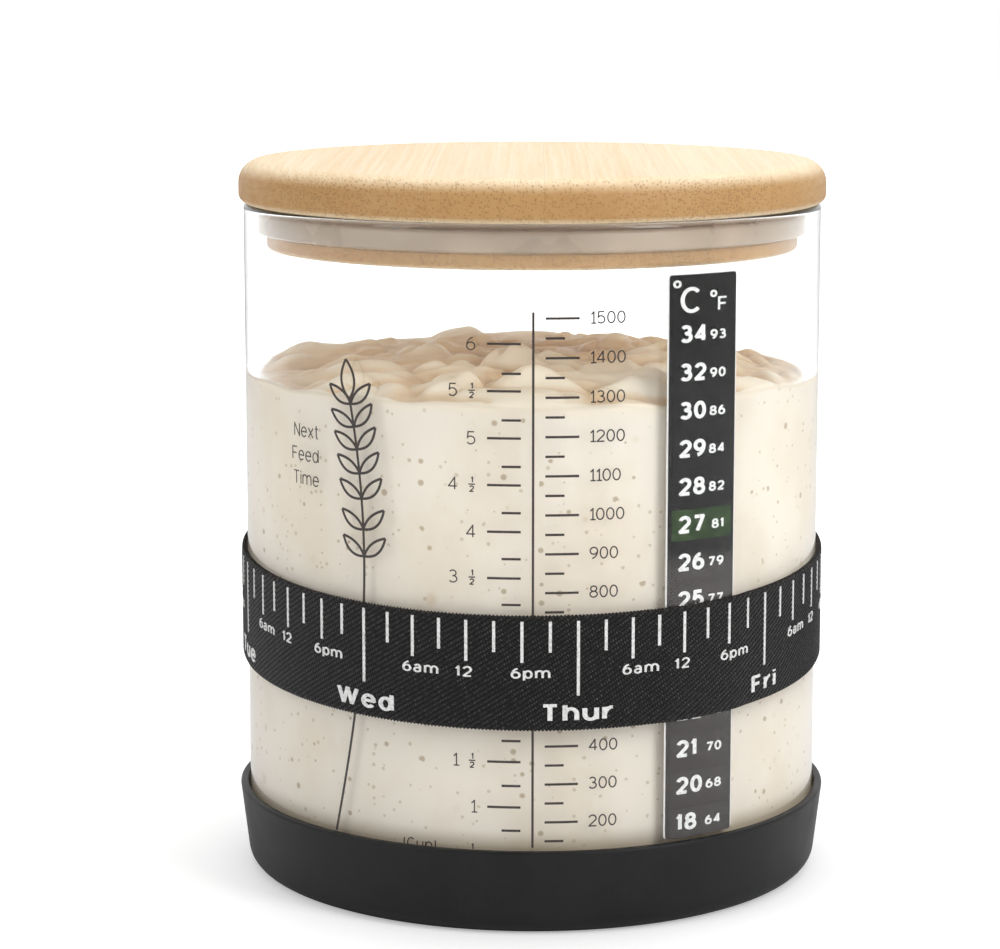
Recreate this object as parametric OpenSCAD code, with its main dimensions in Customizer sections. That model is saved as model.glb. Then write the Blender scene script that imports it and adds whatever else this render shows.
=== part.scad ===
// Sourdough starter jar: a straight glass jar in a soft boot, with a bamboo lid that plugs into its mouth,
// a woven time band and a thermometer strip.
// Millimetres. The jar stands on z = 0 with its axis on Z, and its scale faces -Y.

/* [Glass jar] */
// Outside diameter of the glass
glass_d = 130; // [110:1:150]
// Height of the glass from its foot to its rim
glass_h = 149.5; // [140:0.5:190]
// Thickness of the glass wall
glass_wall = 3; // [2.4:0.1:4]
// Thickness of the glass bottom
glass_base = 6; // [3:0.5:9]
// Rounding of the outside heel of the glass
heel_r = 10; // [6:0.5:12]
// Rounding of the corner inside, where the wall meets the bottom
inner_heel_r = 7; // [3:0.5:10]
// Rounding of the two edges of the rim
rim_edge_r = 1.1; // [0.4:0.1:1.2]

/* [Starter] */
// Depth of the starter in the middle of the jar
starter_depth = 105; // [30:1:118]
// How much higher the starter stands in the middle than at the glass
starter_crown = 3; // [1:0.5:6]

/* [Base sleeve] */
// Height of the soft boot round the foot of the jar
sleeve_h = 19; // [14:0.5:30]
// Thickness of the boot at its rim
sleeve_wall = 2; // [1.6:0.1:4]
// Thickness of the boot's floor under the glass
sleeve_floor = 2.5; // [1.5:0.1:5]
// How much the boot narrows on the radius from its rim to its foot
sleeve_taper = 2.3; // [0.5:0.1:2.6]
// Rounding of the boot's foot
sleeve_foot_r = 4.5; // [2:0.1:5]
// Rounding of the boot's rim
sleeve_rim_r = 0.6; // [0.2:0.1:0.75]
// Room between the boot and the glass
sleeve_gap = 0.3; // [0.1:0.05:0.6]

/* [Lid] */
// How far the lid stands out past the glass
lid_overhang = 1.1; // [0.5:0.1:3]
// Thickness of the disc that covers the rim
lid_top_t = 9.45; // [8:0.05:14]
// Room between the lid and the rim
lid_rim_gap = 0.05; // [0.02:0.01:0.2]
// Rounding of the lid's upper edge
lid_upper_edge_r = 5; // [1:0.1:5.5]
// Rounding of the lid's lower edge
lid_lower_edge_r = 2; // [0.4:0.1:2.3]
// Thickness of the plain shoulder between the top disc and the seal
plug_shoulder_t = 1.7; // [1:0.1:4]
// Thickness of the plug's flange below the seal
plug_flange_t = 3.6; // [2.6:0.1:6]
// Room between the plug and the inside of the glass
plug_gap = 2.2; // [1.2:0.1:4]
// Rounding of the flange's edges
plug_edge_r = 1.2; // [0.4:0.1:1.25]

/* [Lid seal] */
// Height of the clear sealing ring
seal_h = 4.7; // [3:0.1:8]
// Depth of the groove that holds the ring, below the flange's edge
seal_groove = 2.3; // [1:0.1:4]
// Running room between the ring and its groove
seal_groove_gap = 0.05; // [0.02:0.01:0.1]
// Running room between the ring and the glass
seal_glass_gap = 0.1; // [0.05:0.01:0.3]
// Rounding of the ring's outer edges
seal_edge_r = 1; // [0.3:0.1:1.4]

/* [Time band] */
// Width of the woven band
band_w = 24.5; // [15:0.5:30]
// Thickness of the woven band
band_t = 1.2; // [0.8:0.1:1.6]
// Height of the band's middle above the table
band_level = 62.2; // [50:0.1:90]
// Tilt of the band, with its back higher than its front
band_tilt = 4; // [0:0.5:6]
// Room between the band and the thermometer strip that it passes over
band_gap = 0.3; // [0.2:0.05:0.5]
// Length of the band's print that one day takes, as an angle
day_angle = 41.2; // [36:0.2:46]
// Angle of the first day's tick, to the right of the front
first_day_turn = -156.2; // [-170:0.1:-120]
// Days printed on the band
band_days = 7; // [4:1:7]
// Width of a printed tick
band_tick_w = 0.65; // [0.4:0.05:1]
// Distance of the ticks from the band's upper edge
band_tick_margin = 1; // [0.5:0.1:3]
// Length of a three-hour tick
band_tick_short = 6.6; // [4:0.1:8]
// Length of a six-hour tick
band_tick_mid = 8.8; // [5:0.1:10]
// Length of a day tick
band_tick_long = 16; // [8:0.1:18]

/* [Thermometer strip] */
// Width of the thermometer strip
strip_w = 18; // [10:0.5:24]
// Height of the strip's upper end above the table
strip_top = 141.2; // [100:0.1:141.4]
// Room between the boot's rim and the strip's lower end
strip_foot_gap = 0.5; // [0.3:0.1:10]
// Angle of the strip's middle, to the right of the front
strip_turn = 33.8; // [26:0.1:60]
// Thickness of the clear adhesive
strip_adhesive_t = 0.1; // [0.05:0.01:0.15]
// Thickness of the black backing
strip_backing_t = 0.15; // [0.1:0.01:0.2]
// Thickness of the temperature cells
strip_cell_t = 0.08; // [0.05:0.01:0.1]
// Thickness of the clear cover film
strip_cover_t = 0.12; // [0.08:0.01:0.15]
// Number of temperature cells
cell_count = 14; // [6:1:14]
// Distance from one cell to the next
cell_pitch = 8.12; // [7:0.01:8.2]
// Height of one cell
cell_h = 6.6; // [4:0.1:6.8]
// Distance from the strip's upper end to the middle of the first cell
cell_first_drop = 12.9; // [9:0.1:13]
// Margin of the cells inside the strip's long edges
cell_margin = 1.2; // [0.5:0.1:3]

/* [Printed scale] */
// Thickness of the fired ink
ink_t = 0.1; // [0.06:0.01:0.2]
// Width of an ink line
ink_w = 0.5; // [0.3:0.05:0.8]
// Volume at the highest millilitre mark
scale_max_ml = 1500; // [800:100:1500]
// Volume at the lowest millilitre mark
scale_min_ml = 150; // [150:50:400]
// Height of 100 millilitres in the jar
scale_step = 8.275; // [6:0.005:8.3]
// Height of half a cup on the scale
half_cup_step = 9.9; // [7:0.05:9.95]
// Height of half a cup between two quarter-cup marks
quarter_mark_step = 9.79; // [7:0.01:9.95]
// Number of half cups on the scale
half_cups = 12; // [6:1:12]
// Angle of the scale's middle line, to the right of the front
scale_turn = 0.28; // [-4:0.01:4]
// Angle from the middle line to the ticks on either side
tick_offset = 2.25; // [1.5:0.05:4]
// Angle that a long tick takes
tick_long = 6.25; // [4:0.05:8]
// Angle that a short tick takes
tick_short = 3.55; // [2:0.05:3.9]
// How far the middle line runs above the highest mark
scale_line_rise = 1.3; // [0.5:0.1:3]

/* [Hidden] */
$fn = 180;

glass_r = glass_d / 2;
inner_r = glass_r - glass_wall;
glass_z = sleeve_floor;
inner_floor_z = glass_z + glass_base;
rim_z = glass_z + glass_h;
rim_round = min(rim_edge_r, 0.42 * glass_wall);
inner_round = min(inner_heel_r, heel_r);

starter_gap = 0.3;
starter_r = inner_r - starter_gap;
starter_heel = inner_round;
crown_r = (starter_r * starter_r + starter_crown * starter_crown) / (2 * starter_crown);

sleeve_bore_r = glass_r + sleeve_gap;
sleeve_rim_radius = sleeve_bore_r + sleeve_wall;
sleeve_foot_radius = sleeve_rim_radius - sleeve_taper;
taper_angle = atan(sleeve_taper / sleeve_h);
foot_centre = side_x(sleeve_foot_r) - sleeve_foot_r / cos(taper_angle);

lid_r = glass_r + lid_overhang;
lid_z = rim_z + lid_rim_gap;
plug_r = inner_r - plug_gap;
groove_r = plug_r - seal_groove;
seal_inner_r = groove_r + seal_groove_gap;
seal_outer_r = inner_r - seal_glass_gap;
seal_top_z = lid_z - plug_shoulder_t;
seal_low_z = seal_top_z - seal_h;
plug_low_z = seal_low_z - plug_flange_t;
groove_edge_r = 0.4;

strip_t = strip_adhesive_t + strip_backing_t + strip_cell_t + strip_cover_t;
strip_low_z = sleeve_h + strip_foot_gap;
strip_h = strip_top - strip_low_z;
backing_r = glass_r + strip_adhesive_t;
cell_r = backing_r + strip_backing_t;
cover_r = cell_r + strip_cell_t;

band_inner_r = glass_r + strip_t + band_gap;
band_outer_r = band_inner_r + band_t;
band_ink_t = 0.1;
hour_steps = 8;
hour_angle = day_angle / hour_steps;
stitch_t = 0.2;
stitch_w = 0.5;
stitch_len = 1.7;
stitch_rows = 11;
stitch_margin = 1.5;
stitch_pitch = (band_w - 2 * stitch_margin) / (stitch_rows - 1);
stitch_slant = 35;
seam_half = 2.6;

reach = 4;
wide = 2 * (band_outer_r + reach);

// Radius of the boot's outer side at a height
function side_x(z) = sleeve_foot_radius + sleeve_taper * z / sleeve_h;

// Height above the table at which the starter holds a volume
function level(ml) = inner_floor_z + scale_step * ml / 100;

// Flat outline of a filled round shape: radius r and height h, with its upper outer edge rounded
module half_outline(r, h, edge) {
    square([r, h - edge]);
    square([r - edge, h]);
    if (edge > 0)
        intersection() {
            translate([r - edge, h - edge]) circle(r = edge);
            square([r, h]);
        }
}

// Flat outline of a filled round shape from low to high, with its two outer edges rounded
module disc_outline(r, low, high, low_round, high_round) {
    seam = (low + low_round + high - high_round) / 2;
    translate([0, seam]) {
        half_outline(r, high - seam, high_round);
        mirror([0, 1]) half_outline(r, seam - low, low_round);
    }
}

// Hollow cylinder that prints and films are cut from
module skin(r, t, low, high) {
    translate([0, 0, low])
        difference() {
            cylinder(r = r + t, h = high - low);
            translate([0, 0, -1]) cylinder(r = r, h = high - low + 2);
        }
}

// Block at the front of the jar, turned to an angle, that cuts a piece of a skin
module window(turn, w, low, high) {
    rotate([0, 0, turn])
        translate([-w / 2, -wide / 2, low]) cube([w, wide / 2 - glass_r / 2, high - low]);
}

// Slab across the jar that leans as the band does, between two distances from the band's middle
module band_slab(low, high) {
    translate([0, 0, band_level])
        rotate([band_tilt, 0, 0])
            translate([-wide / 2, -wide / 2, low]) cube([wide, wide, high - low]);
}

module base_sleeve() {
    color([0.09, 0.09, 0.09])
        rotate_extrude()
            difference() {
                union() {
                    polygon([[0, 0],
                             [foot_centre, 0],
                             [foot_centre + sleeve_foot_r * cos(taper_angle),
                              sleeve_foot_r * (1 - sin(taper_angle))],
                             [side_x(sleeve_h - sleeve_rim_r), sleeve_h - sleeve_rim_r],
                             [0, sleeve_h - sleeve_rim_r]]);
                    translate([foot_centre, sleeve_foot_r]) circle(r = sleeve_foot_r);
                    translate([sleeve_bore_r + sleeve_rim_r, sleeve_h - 2 * sleeve_rim_r])
                        square([side_x(sleeve_h - sleeve_rim_r) - sleeve_bore_r - 2 * sleeve_rim_r,
                                2 * sleeve_rim_r]);
                    translate([sleeve_bore_r + sleeve_rim_r, sleeve_h - sleeve_rim_r])
                        circle(r = sleeve_rim_r);
                    translate([side_x(sleeve_h - sleeve_rim_r) - sleeve_rim_r, sleeve_h - sleeve_rim_r])
                        circle(r = sleeve_rim_r);
                }
                boot_cavity();
            }
}

// Room inside the boot: the foot of the glass and the gap round it
module boot_cavity() {
    translate([0, glass_z + heel_r]) square([sleeve_bore_r, sleeve_h]);
    translate([0, glass_z]) square([glass_r - heel_r, sleeve_h]);
    intersection() {
        translate([glass_r - heel_r, glass_z + heel_r]) circle(r = heel_r + sleeve_gap);
        translate([0, glass_z]) square([glass_d, sleeve_h]);
    }
}

module glass_jar() {
    color([0.85, 0.92, 0.92, 0.35])
        rotate_extrude() {
            difference() {
                disc_outline(glass_r, glass_z, rim_z - rim_round, heel_r, 0);
                disc_outline(inner_r, inner_floor_z, rim_z + heel_r, inner_round, 0);
            }
            translate([inner_r + rim_round, rim_z - 2 * rim_round])
                square([glass_wall - 2 * rim_round, 2 * rim_round]);
            translate([inner_r + rim_round, rim_z - rim_round]) circle(r = rim_round);
            translate([glass_r - rim_round, rim_z - rim_round]) circle(r = rim_round);
        }
}

module starter() {
    color([0.93, 0.87, 0.76])
        rotate_extrude()
            intersection() {
                disc_outline(starter_r, inner_floor_z, inner_floor_z + starter_depth + 1, starter_heel, 0);
                translate([0, inner_floor_z + starter_depth - crown_r]) circle(r = crown_r, $fn = 720);
                square([glass_d, glass_h]);
            }
}

module lid_board() {
    color([0.86, 0.68, 0.42])
        rotate_extrude() {
            disc_outline(lid_r, lid_z, lid_z + lid_top_t, lid_lower_edge_r, lid_upper_edge_r);
            translate([0, seal_top_z]) square([plug_r, plug_shoulder_t + 0.5]);
            translate([0, seal_low_z - 0.5]) square([groove_r, seal_h + 1]);
            disc_outline(plug_r, plug_low_z, seal_low_z, plug_edge_r, groove_edge_r);
        }
}

module lid_seal() {
    color([0.86, 0.8, 0.76, 0.8])
        rotate_extrude()
            difference() {
                disc_outline(seal_outer_r, seal_low_z + seal_groove_gap, seal_top_z,
                             seal_edge_r, seal_edge_r);
                square([seal_inner_r, lid_z]);
            }
}

module band_webbing() {
    color([0.1, 0.1, 0.11])
        intersection() {
            skin(band_inner_r, band_t, band_level - band_w, band_level + band_w);
            band_slab(-band_w / 2, band_w / 2);
        }
}

// Two columns of slanted stitches that close the loop at the back
module band_stitches() {
    color([0.16, 0.16, 0.17])
        intersection() {
            skin(band_outer_r, stitch_t, band_level - band_w, band_level + band_w);
            translate([0, 0, band_level])
                rotate([band_tilt, 0, 0])
                    for (side = [-1, 1], row = [0 : stitch_rows - 1])
                        translate([side * seam_half, band_outer_r,
                                   (row - (stitch_rows - 1) / 2) * stitch_pitch])
                            rotate([0, side * stitch_slant, 0])
                                cube([stitch_len, 2 * reach, stitch_w], center = true);
        }
}

// Ticks of one length on the band, at every step that the list of turns names
module band_tick_set(length, turns) {
    intersection() {
        skin(band_outer_r, band_ink_t, band_level - band_w, band_level + band_w);
        band_slab(band_w / 2 - band_tick_margin - length, band_w / 2 - band_tick_margin);
        union()
            for (turn = turns)
                window(turn, band_tick_w, band_level - band_w, band_level + band_w);
    }
}

module band_ticks() {
    steps = band_days * hour_steps;
    color([0.92, 0.92, 0.9]) {
        band_tick_set(band_tick_long,
                      [for (i = [0 : hour_steps : steps]) first_day_turn + i * hour_angle]);
        band_tick_set(band_tick_mid,
                      [for (i = [0 : 2 : steps]) if (i % hour_steps != 0) first_day_turn + i * hour_angle]);
        band_tick_set(band_tick_short,
                      [for (i = [1 : 2 : steps]) first_day_turn + i * hour_angle]);
    }
}

// One film of the thermometer strip, from its radius and thickness
module strip_film(r, t, margin) {
    intersection() {
        skin(r, t, strip_low_z + margin, strip_top - margin);
        window(strip_turn, strip_w - 2 * margin, strip_low_z, strip_top);
    }
}

module strip_adhesive() {
    color([0.9, 0.9, 0.88, 0.5]) strip_film(glass_r, strip_adhesive_t, 0);
}

module strip_backing() {
    color([0.05, 0.05, 0.05]) strip_film(backing_r, strip_backing_t, 0);
}

module strip_cells() {
    color([0.12, 0.22, 0.14])
        intersection() {
            skin(cell_r, strip_cell_t, strip_low_z, strip_top);
            union()
                for (i = [0 : cell_count - 1])
                    window(strip_turn, strip_w - 2 * cell_margin,
                           strip_top - cell_first_drop - i * cell_pitch - cell_h / 2,
                           strip_top - cell_first_drop - i * cell_pitch + cell_h / 2);
        }
}

module strip_cover() {
    color([0.9, 0.95, 0.95, 0.3]) strip_film(cover_r, strip_cover_t, 0);
}

// Ink tick that starts at an angle from the middle line and runs away from it, at a height
module ink_tick(side, span, z) {
    intersection() {
        skin(glass_r, ink_t, z - ink_w / 2, z + ink_w / 2);
        window(scale_turn + side * (tick_offset + span / 2), 2 * glass_r * sin(span / 2),
               z - ink_w, z + ink_w);
    }
}

module scale_line() {
    color([0.2, 0.15, 0.13])
        intersection() {
            skin(glass_r, ink_t, sleeve_h + strip_foot_gap, level(scale_max_ml) + scale_line_rise);
            window(scale_turn, ink_w, 0, rim_z);
        }
}

module millilitre_ticks() {
    color([0.2, 0.15, 0.13]) {
        for (ml = [scale_min_ml : 50 : scale_max_ml])
            ink_tick(1, ml % 100 == 0 ? tick_long : tick_short, level(ml));
    }
}

module cup_ticks() {
    color([0.2, 0.15, 0.13]) {
        for (i = [2 : half_cups])
            ink_tick(-1, tick_long, inner_floor_z + i * half_cup_step);
        for (i = [1 : half_cups - 1])
            ink_tick(-1, tick_short, inner_floor_z + (i + 0.5) * quarter_mark_step);
    }
}

base_sleeve();
glass_jar();
starter();
lid_board();
lid_seal();
band_webbing();
band_stitches();
band_ticks();
strip_adhesive();
strip_backing();
strip_cells();
strip_cover();
scale_line();
millilitre_ticks();
cup_ticks();
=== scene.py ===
# %% [markdown]
# Sourdough starter jar: a straight glass jar in a soft black boot, closed by a bamboo lid with a clear ring,
# filled with starter, and girdled by a woven band that is printed with days and hours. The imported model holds
# every solid at its real place. This script dresses that model: it rebuilds the surfaces that the eye reads,
# gives each one its finish, and lights them as in a small white studio.

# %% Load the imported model
import math

import bpy
import numpy as np
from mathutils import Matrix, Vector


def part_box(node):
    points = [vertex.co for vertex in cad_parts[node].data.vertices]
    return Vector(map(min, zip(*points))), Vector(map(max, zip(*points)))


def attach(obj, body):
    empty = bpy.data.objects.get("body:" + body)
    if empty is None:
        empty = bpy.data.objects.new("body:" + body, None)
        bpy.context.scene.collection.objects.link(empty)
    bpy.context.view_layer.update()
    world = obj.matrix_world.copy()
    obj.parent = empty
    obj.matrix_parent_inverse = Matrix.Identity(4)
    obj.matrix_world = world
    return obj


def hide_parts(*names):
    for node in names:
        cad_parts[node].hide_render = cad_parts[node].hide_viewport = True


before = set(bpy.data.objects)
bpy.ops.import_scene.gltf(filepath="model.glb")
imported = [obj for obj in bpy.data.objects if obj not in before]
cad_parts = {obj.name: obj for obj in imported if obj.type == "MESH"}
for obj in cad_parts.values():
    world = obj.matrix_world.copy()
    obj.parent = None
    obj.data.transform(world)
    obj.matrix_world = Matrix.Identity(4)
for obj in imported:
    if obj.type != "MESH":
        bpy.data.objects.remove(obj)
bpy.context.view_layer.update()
scene = bpy.context.scene

# %% [markdown]
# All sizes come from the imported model, so that a piece made here fits the solid it stands for. Lengths are in
# metres as everywhere in Blender, and MM turns the few typed millimetres into metres. Angles round the jar are
# measured from the front, which looks along -Y, and grow to the right.

# %% Sizes
MM = 0.001


def in_mm(value):
    """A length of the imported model, in millimetres."""
    return value / MM


glass_low, glass_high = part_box("glass_jar")
boot_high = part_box("base_sleeve")[1]
lid_low, lid_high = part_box("lid_board")
seal_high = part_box("lid_seal")[1]
dough_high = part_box("starter")[1]
strip_low, strip_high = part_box("strip_cover")

GLASS_R = round(in_mm(glass_high.x), 2)
FOOT_Z = in_mm(glass_low.z)
RIM_Z = in_mm(glass_high.z)
WALL = 3.0
INNER_R = GLASS_R - WALL
BOOT_TOP = in_mm(boot_high.z)
LID_R = round(in_mm(lid_high.y), 2)
LID_Z = RIM_Z + 0.05
LID_TOP = in_mm(lid_high.z)
print("Glass radius", GLASS_R, "mm, rim at", round(RIM_Z, 2), "mm, lid top at", round(LID_TOP, 2), "mm")

# %% [markdown]
# Nearly every piece is turned: a half outline carried once round the jar's axis. The outline is typed as
# corners, each with its rounding, and one function puts the arcs in. A short straight step on both sides of
# each arc keeps the shading of the long walls flat, which clear glass shows at once.

# %% Turned pieces


def make_mesh(name, points, faces, sharp=None):
    """A smooth-shaded mesh object from points (n, 3) in metres and a list of face arrays."""
    mesh = bpy.data.meshes.new(name)
    mesh.from_pydata(np.asarray(points).tolist(), [], [face for block in faces for face in block.tolist()])
    mesh.shade_smooth()
    if sharp is not None:
        mesh.set_sharp_from_angle(angle=math.radians(sharp))
    piece = bpy.data.objects.new(name, mesh)
    scene.collection.objects.link(piece)
    print(name, "-", len(points), "points")
    return piece


def grid_faces(rows, columns, round_columns=True, round_rows=False):
    """Quads of a grid of points that is stored row by row: each joins a point, its right neighbour and the
    two above them. Round columns join the last column to the first, and round rows do so with the rows."""
    row = np.arange(rows if round_rows else rows - 1)[:, None]
    column = np.arange(columns if round_columns else columns - 1)[None, :]
    above = (row + 1) % rows * columns
    here = row * columns
    right = (column + 1) % columns
    return np.stack([here + column, here + right, above + right, above + column], -1).reshape(-1, 4)


def rounded(corners, closed=False, steps=10, support=0.15):
    """An outline in metres from corners (r, z, rounding) in millimetres. The arc at a corner whose sides meet
    at an angle 2t touches each side at rounding / tan(t) from the corner, and its centre lies
    rounding / sin(t) away on the line that halves the corner."""
    spot = np.array([corner[:2] for corner in corners], float)
    count = len(corners)
    back = np.roll(spot, 1, 0) - spot
    ahead = np.roll(spot, -1, 0) - spot
    back_length = np.linalg.norm(back, axis=1)
    ahead_length = np.linalg.norm(ahead, axis=1)
    back /= back_length[:, None]
    ahead /= ahead_length[:, None]
    half = 0.5 * np.arccos(np.clip((back * ahead).sum(1), -1, 1))
    rounding = np.array([corner[2] for corner in corners], float)
    if not closed:
        rounding[[0, -1]] = 0
    reach = rounding / np.tan(half)
    points = []
    for i in range(count):
        if rounding[i] == 0:
            points.append(spot[i][None])
            continue
        middle = back[i] + ahead[i]
        centre = spot[i] + middle / np.linalg.norm(middle) * rounding[i] / math.sin(half[i])
        first = spot[i] + back[i] * reach[i]
        last = spot[i] + ahead[i] * reach[i]
        a, b = (math.atan2(*(end - centre)[::-1]) for end in (first, last))
        turn = (b - a + math.pi) % (2 * math.pi) - math.pi
        angle = a + turn * np.linspace(0, 1, steps)
        if back_length[i] - reach[i] - reach[i - 1] > 3 * support:
            points.append((first + back[i] * support)[None])
        points.append(centre + rounding[i] * np.stack([np.cos(angle), np.sin(angle)], 1))
        if ahead_length[i] - reach[i] - reach[(i + 1) % count] > 3 * support:
            points.append((last + ahead[i] * support)[None])
    return np.concatenate(points) * MM


def turned(name, profile, turns=288, sharp=None):
    """Carries a profile of (radius, height) round Z: x = r sin a, y = -r cos a. A profile that starts and ends
    on the axis gets a pole at each end, and any other is closed on itself."""
    on_axis = profile[:, 0] < 1e-9
    rings = profile[~on_axis]
    angle = np.arange(turns) * 2 * math.pi / turns
    radius, height = rings[:, :1], rings[:, 1:]
    points = np.stack([radius * np.sin(angle), -radius * np.cos(angle), height + 0 * angle], -1).reshape(-1, 3)
    faces = [grid_faces(len(rings), turns, round_rows=not on_axis.any())]
    if on_axis.any():
        pole = len(points)
        j = np.arange(turns)
        last = (len(rings) - 1) * turns
        points = np.concatenate([points, [[0, 0, profile[0, 1]], [0, 0, profile[-1, 1]]]])
        faces.append(np.stack([0 * j + pole, (j + 1) % turns, j], 1))
        faces.append(np.stack([last + j, last + (j + 1) % turns, 0 * j + pole + 1], 1))
    return make_mesh(name, points, faces, sharp)


# %% [markdown]
# A finish is a small tree of shader nodes around one Principled shader. Three helpers keep the trees short:
# one starts a finish, one adds a node with its sockets filled, and one is for sums. A number is typed into a
# socket, and another node's output is linked to it.

# %% Finishes


def new_finish(name, **sockets):
    """A material and its node tree, with the Principled shader's sockets set."""
    material = bpy.data.materials.new(name)
    material.use_nodes = True
    tree = material.node_tree
    fill(tree, tree.nodes["Principled BSDF"], {key.replace("_", " "): value for key, value in sockets.items()})
    return material, tree


def fill(tree, node, sockets):
    """Sets a node's sockets: an output is linked, and anything else is typed in."""
    for key, value in sockets.items():
        if isinstance(value, bpy.types.NodeSocket):
            tree.links.new(value, node.inputs[key])
        elif isinstance(value, tuple) and len(value) == 3 and len(node.inputs[key].default_value) == 4:
            node.inputs[key].default_value = (*value, 1)
        else:
            node.inputs[key].default_value = value
    return node


def add(tree, kind, sockets=None, **settings):
    """A new node of a kind such as TexNoise, with its settings and sockets."""
    node = tree.nodes.new("ShaderNode" + kind)
    for key, value in settings.items():
        setattr(node, key, value)
    return fill(tree, node, sockets or {})


def sum_of(tree, operation, *values):
    """One step of arithmetic on numbers or outputs, such as ADD or MULTIPLY_ADD."""
    return add(tree, "Math", dict(enumerate(values)), operation=operation).outputs[0]


def fade(tree, value, low, high, start=0.0, end=1.0):
    """Runs smoothly from start to end while the value goes from low to high."""
    sockets = {"Value": value, "From Min": low, "From Max": high, "To Min": start, "To Max": end}
    return add(tree, "MapRange", sockets, interpolation_type="SMOOTHSTEP").outputs[0]


def blend(tree, share, first, second, how="MIX"):
    """Mixes two colours by a share from 0 to 1."""
    node = add(tree, "Mix", data_type="RGBA", blend_type=how)
    for index, value in ((0, share), (6, first), (7, second)):
        fill(tree, node, {index: value})
    return node.outputs[2]


def principled(tree):
    """The finish's Principled shader."""
    return tree.nodes["Principled BSDF"]


def place_of(tree, scale=(1, 1, 1), shift=(0, 0, 0)):
    """Object coordinates in metres, scaled and shifted."""
    where = add(tree, "TexCoord").outputs["Object"]
    return add(tree, "Mapping", {"Vector": where, "Scale": scale, "Location": shift}).outputs[0]


def bump(tree, height, distance, strength=1.0):
    """Tilts the shading normal by a height, of which 1 stands for the distance in metres."""
    node = add(tree, "Bump", {"Height": height, "Distance": distance, "Strength": strength})
    fill(tree, principled(tree), {"Normal": node.outputs[0]})


def dress(piece, material, body, slot, *nodes):
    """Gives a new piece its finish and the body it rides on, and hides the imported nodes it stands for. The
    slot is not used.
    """
    piece.data.materials.append(material)
    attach(piece, body)
    if nodes:
        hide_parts(*nodes)
    return piece


def refinish(node, material):
    """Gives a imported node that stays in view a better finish."""
    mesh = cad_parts[node].data
    mesh.materials.clear()
    mesh.materials.append(material)


# %% [markdown]
# The boot is pressed from black silicone: a shallow cup that tapers to its foot, with a soft bead at the rim
# that catches a line of light. Turning one outline makes it whole, the inside included, which shows when the
# jar is lifted out. Silicone is matt with a faint unevenness, so its gloss stays low and its colour is a
# deep grey that two sizes of noise vary a little.

# %% The boot
BOOT_WALL = 2.0
BOOT_GAP = 0.3
boot_bore = GLASS_R + BOOT_GAP
boot_rim = boot_bore + BOOT_WALL
boot_foot = boot_rim - 2.3
boot_profile = rounded([
    (0, 0, 0),
    (boot_foot, 0, 4.5),
    (boot_rim - 0.01, BOOT_TOP, 0.62),
    (boot_bore, BOOT_TOP, 0.62),
    (boot_bore, FOOT_Z, 9.6),
    (0, FOOT_Z, 0),
])

silicone, tree = new_finish("boot_silicone", Roughness=0.5, Specular_IOR_Level=0.32)
dust = add(tree, "TexNoise", {"Vector": place_of(tree), "Scale": 60, "Detail": 5, "Roughness": 0.6}).outputs[0]
grain = add(tree, "TexNoise", {"Vector": place_of(tree), "Scale": 2600, "Detail": 2}).outputs[0]
fill(tree, principled(tree), {
    "Base Color": blend(tree, fade(tree, dust, 0.35, 0.7), (0.0068, 0.0068, 0.0072), (0.0115, 0.0115, 0.0118)),
    "Roughness": fade(tree, dust, 0.3, 0.75, 0.44, 0.56),
})
bump(tree, grain, 0.00002)
dress(turned("boot", boot_profile), silicone, "boot", "black_silicone", "base_sleeve")

# %% [markdown]
# The jar is blown soda-lime glass with a fire-polished rim and a thick bottom. A closed shell with a true
# inner wall bends the light as the real wall does: at its edges it turns grey where it gathers the dark sides
# of the room, and the starter seems to fill it right out. The finish is a clear Principled shader, mixed with
# a plain see-through one for rays that look for a lamp, so that the starter inside is lit.

# %% The glass
HEEL = 10.0
INNER_HEEL = 7.0
INNER_FLOOR = FOOT_Z + 6.0
RIM_ROUND = 1.1
PUNT = 0.8
glass_profile = rounded([
    (0, FOOT_Z + PUNT, 0),
    (30, FOOT_Z + PUNT * 0.6, 20),
    (GLASS_R - HEEL - 2, FOOT_Z, 2),
    (GLASS_R, FOOT_Z, HEEL),
    (GLASS_R, RIM_Z, RIM_ROUND),
    (INNER_R, RIM_Z, RIM_ROUND),
    (INNER_R, INNER_FLOOR, INNER_HEEL),
    (0, INNER_FLOOR, 0),
])


def see_through_to_lamps(tree):
    """Lets rays that look for a lamp pass the shader, tinted as the glass is."""
    is_shadow = add(tree, "LightPath").outputs["Is Shadow Ray"]
    clear = add(tree, "BsdfTransparent", {"Color": (0.96, 0.975, 0.97)})
    mixed = add(tree, "MixShader", {0: is_shadow, 1: principled(tree).outputs[0], 2: clear.outputs[0]})
    fill(tree, tree.nodes["Material Output"], {"Surface": mixed.outputs[0]})


glass, tree = new_finish("clear_glass", Roughness=0.0, IOR=1.5, Transmission_Weight=1.0)
flow = add(tree, "TexNoise", {"Vector": place_of(tree, (1, 1, 0.25)), "Scale": 55, "Detail": 1}).outputs[0]
tint = add(tree, "TexNoise", {"Vector": place_of(tree), "Scale": 14, "Detail": 1}).outputs[0]
fill(tree, principled(tree), {"Base Color": blend(tree, tint, (0.985, 0.995, 0.992), (0.995, 0.998, 0.997))})
bump(tree, flow, 0.00008, 0.35)
see_through_to_lamps(tree)
dress(turned("jar", glass_profile, 384), glass, "jar", "clear_glass", "glass_jar")

# %% [markdown]
# The starter is a loose dough. It has sunk a little, so its skin lies in soft folds, and along the glass it
# leaves an uneven line. Smooth noise gives all of that: values on a lattice, blended between its knots. Its
# absolute value makes round puffs with sharp creases between them, and shifting the place at which it is read
# by slower noise bends the creases as a slow flow would.

# %% Smooth noise


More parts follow.
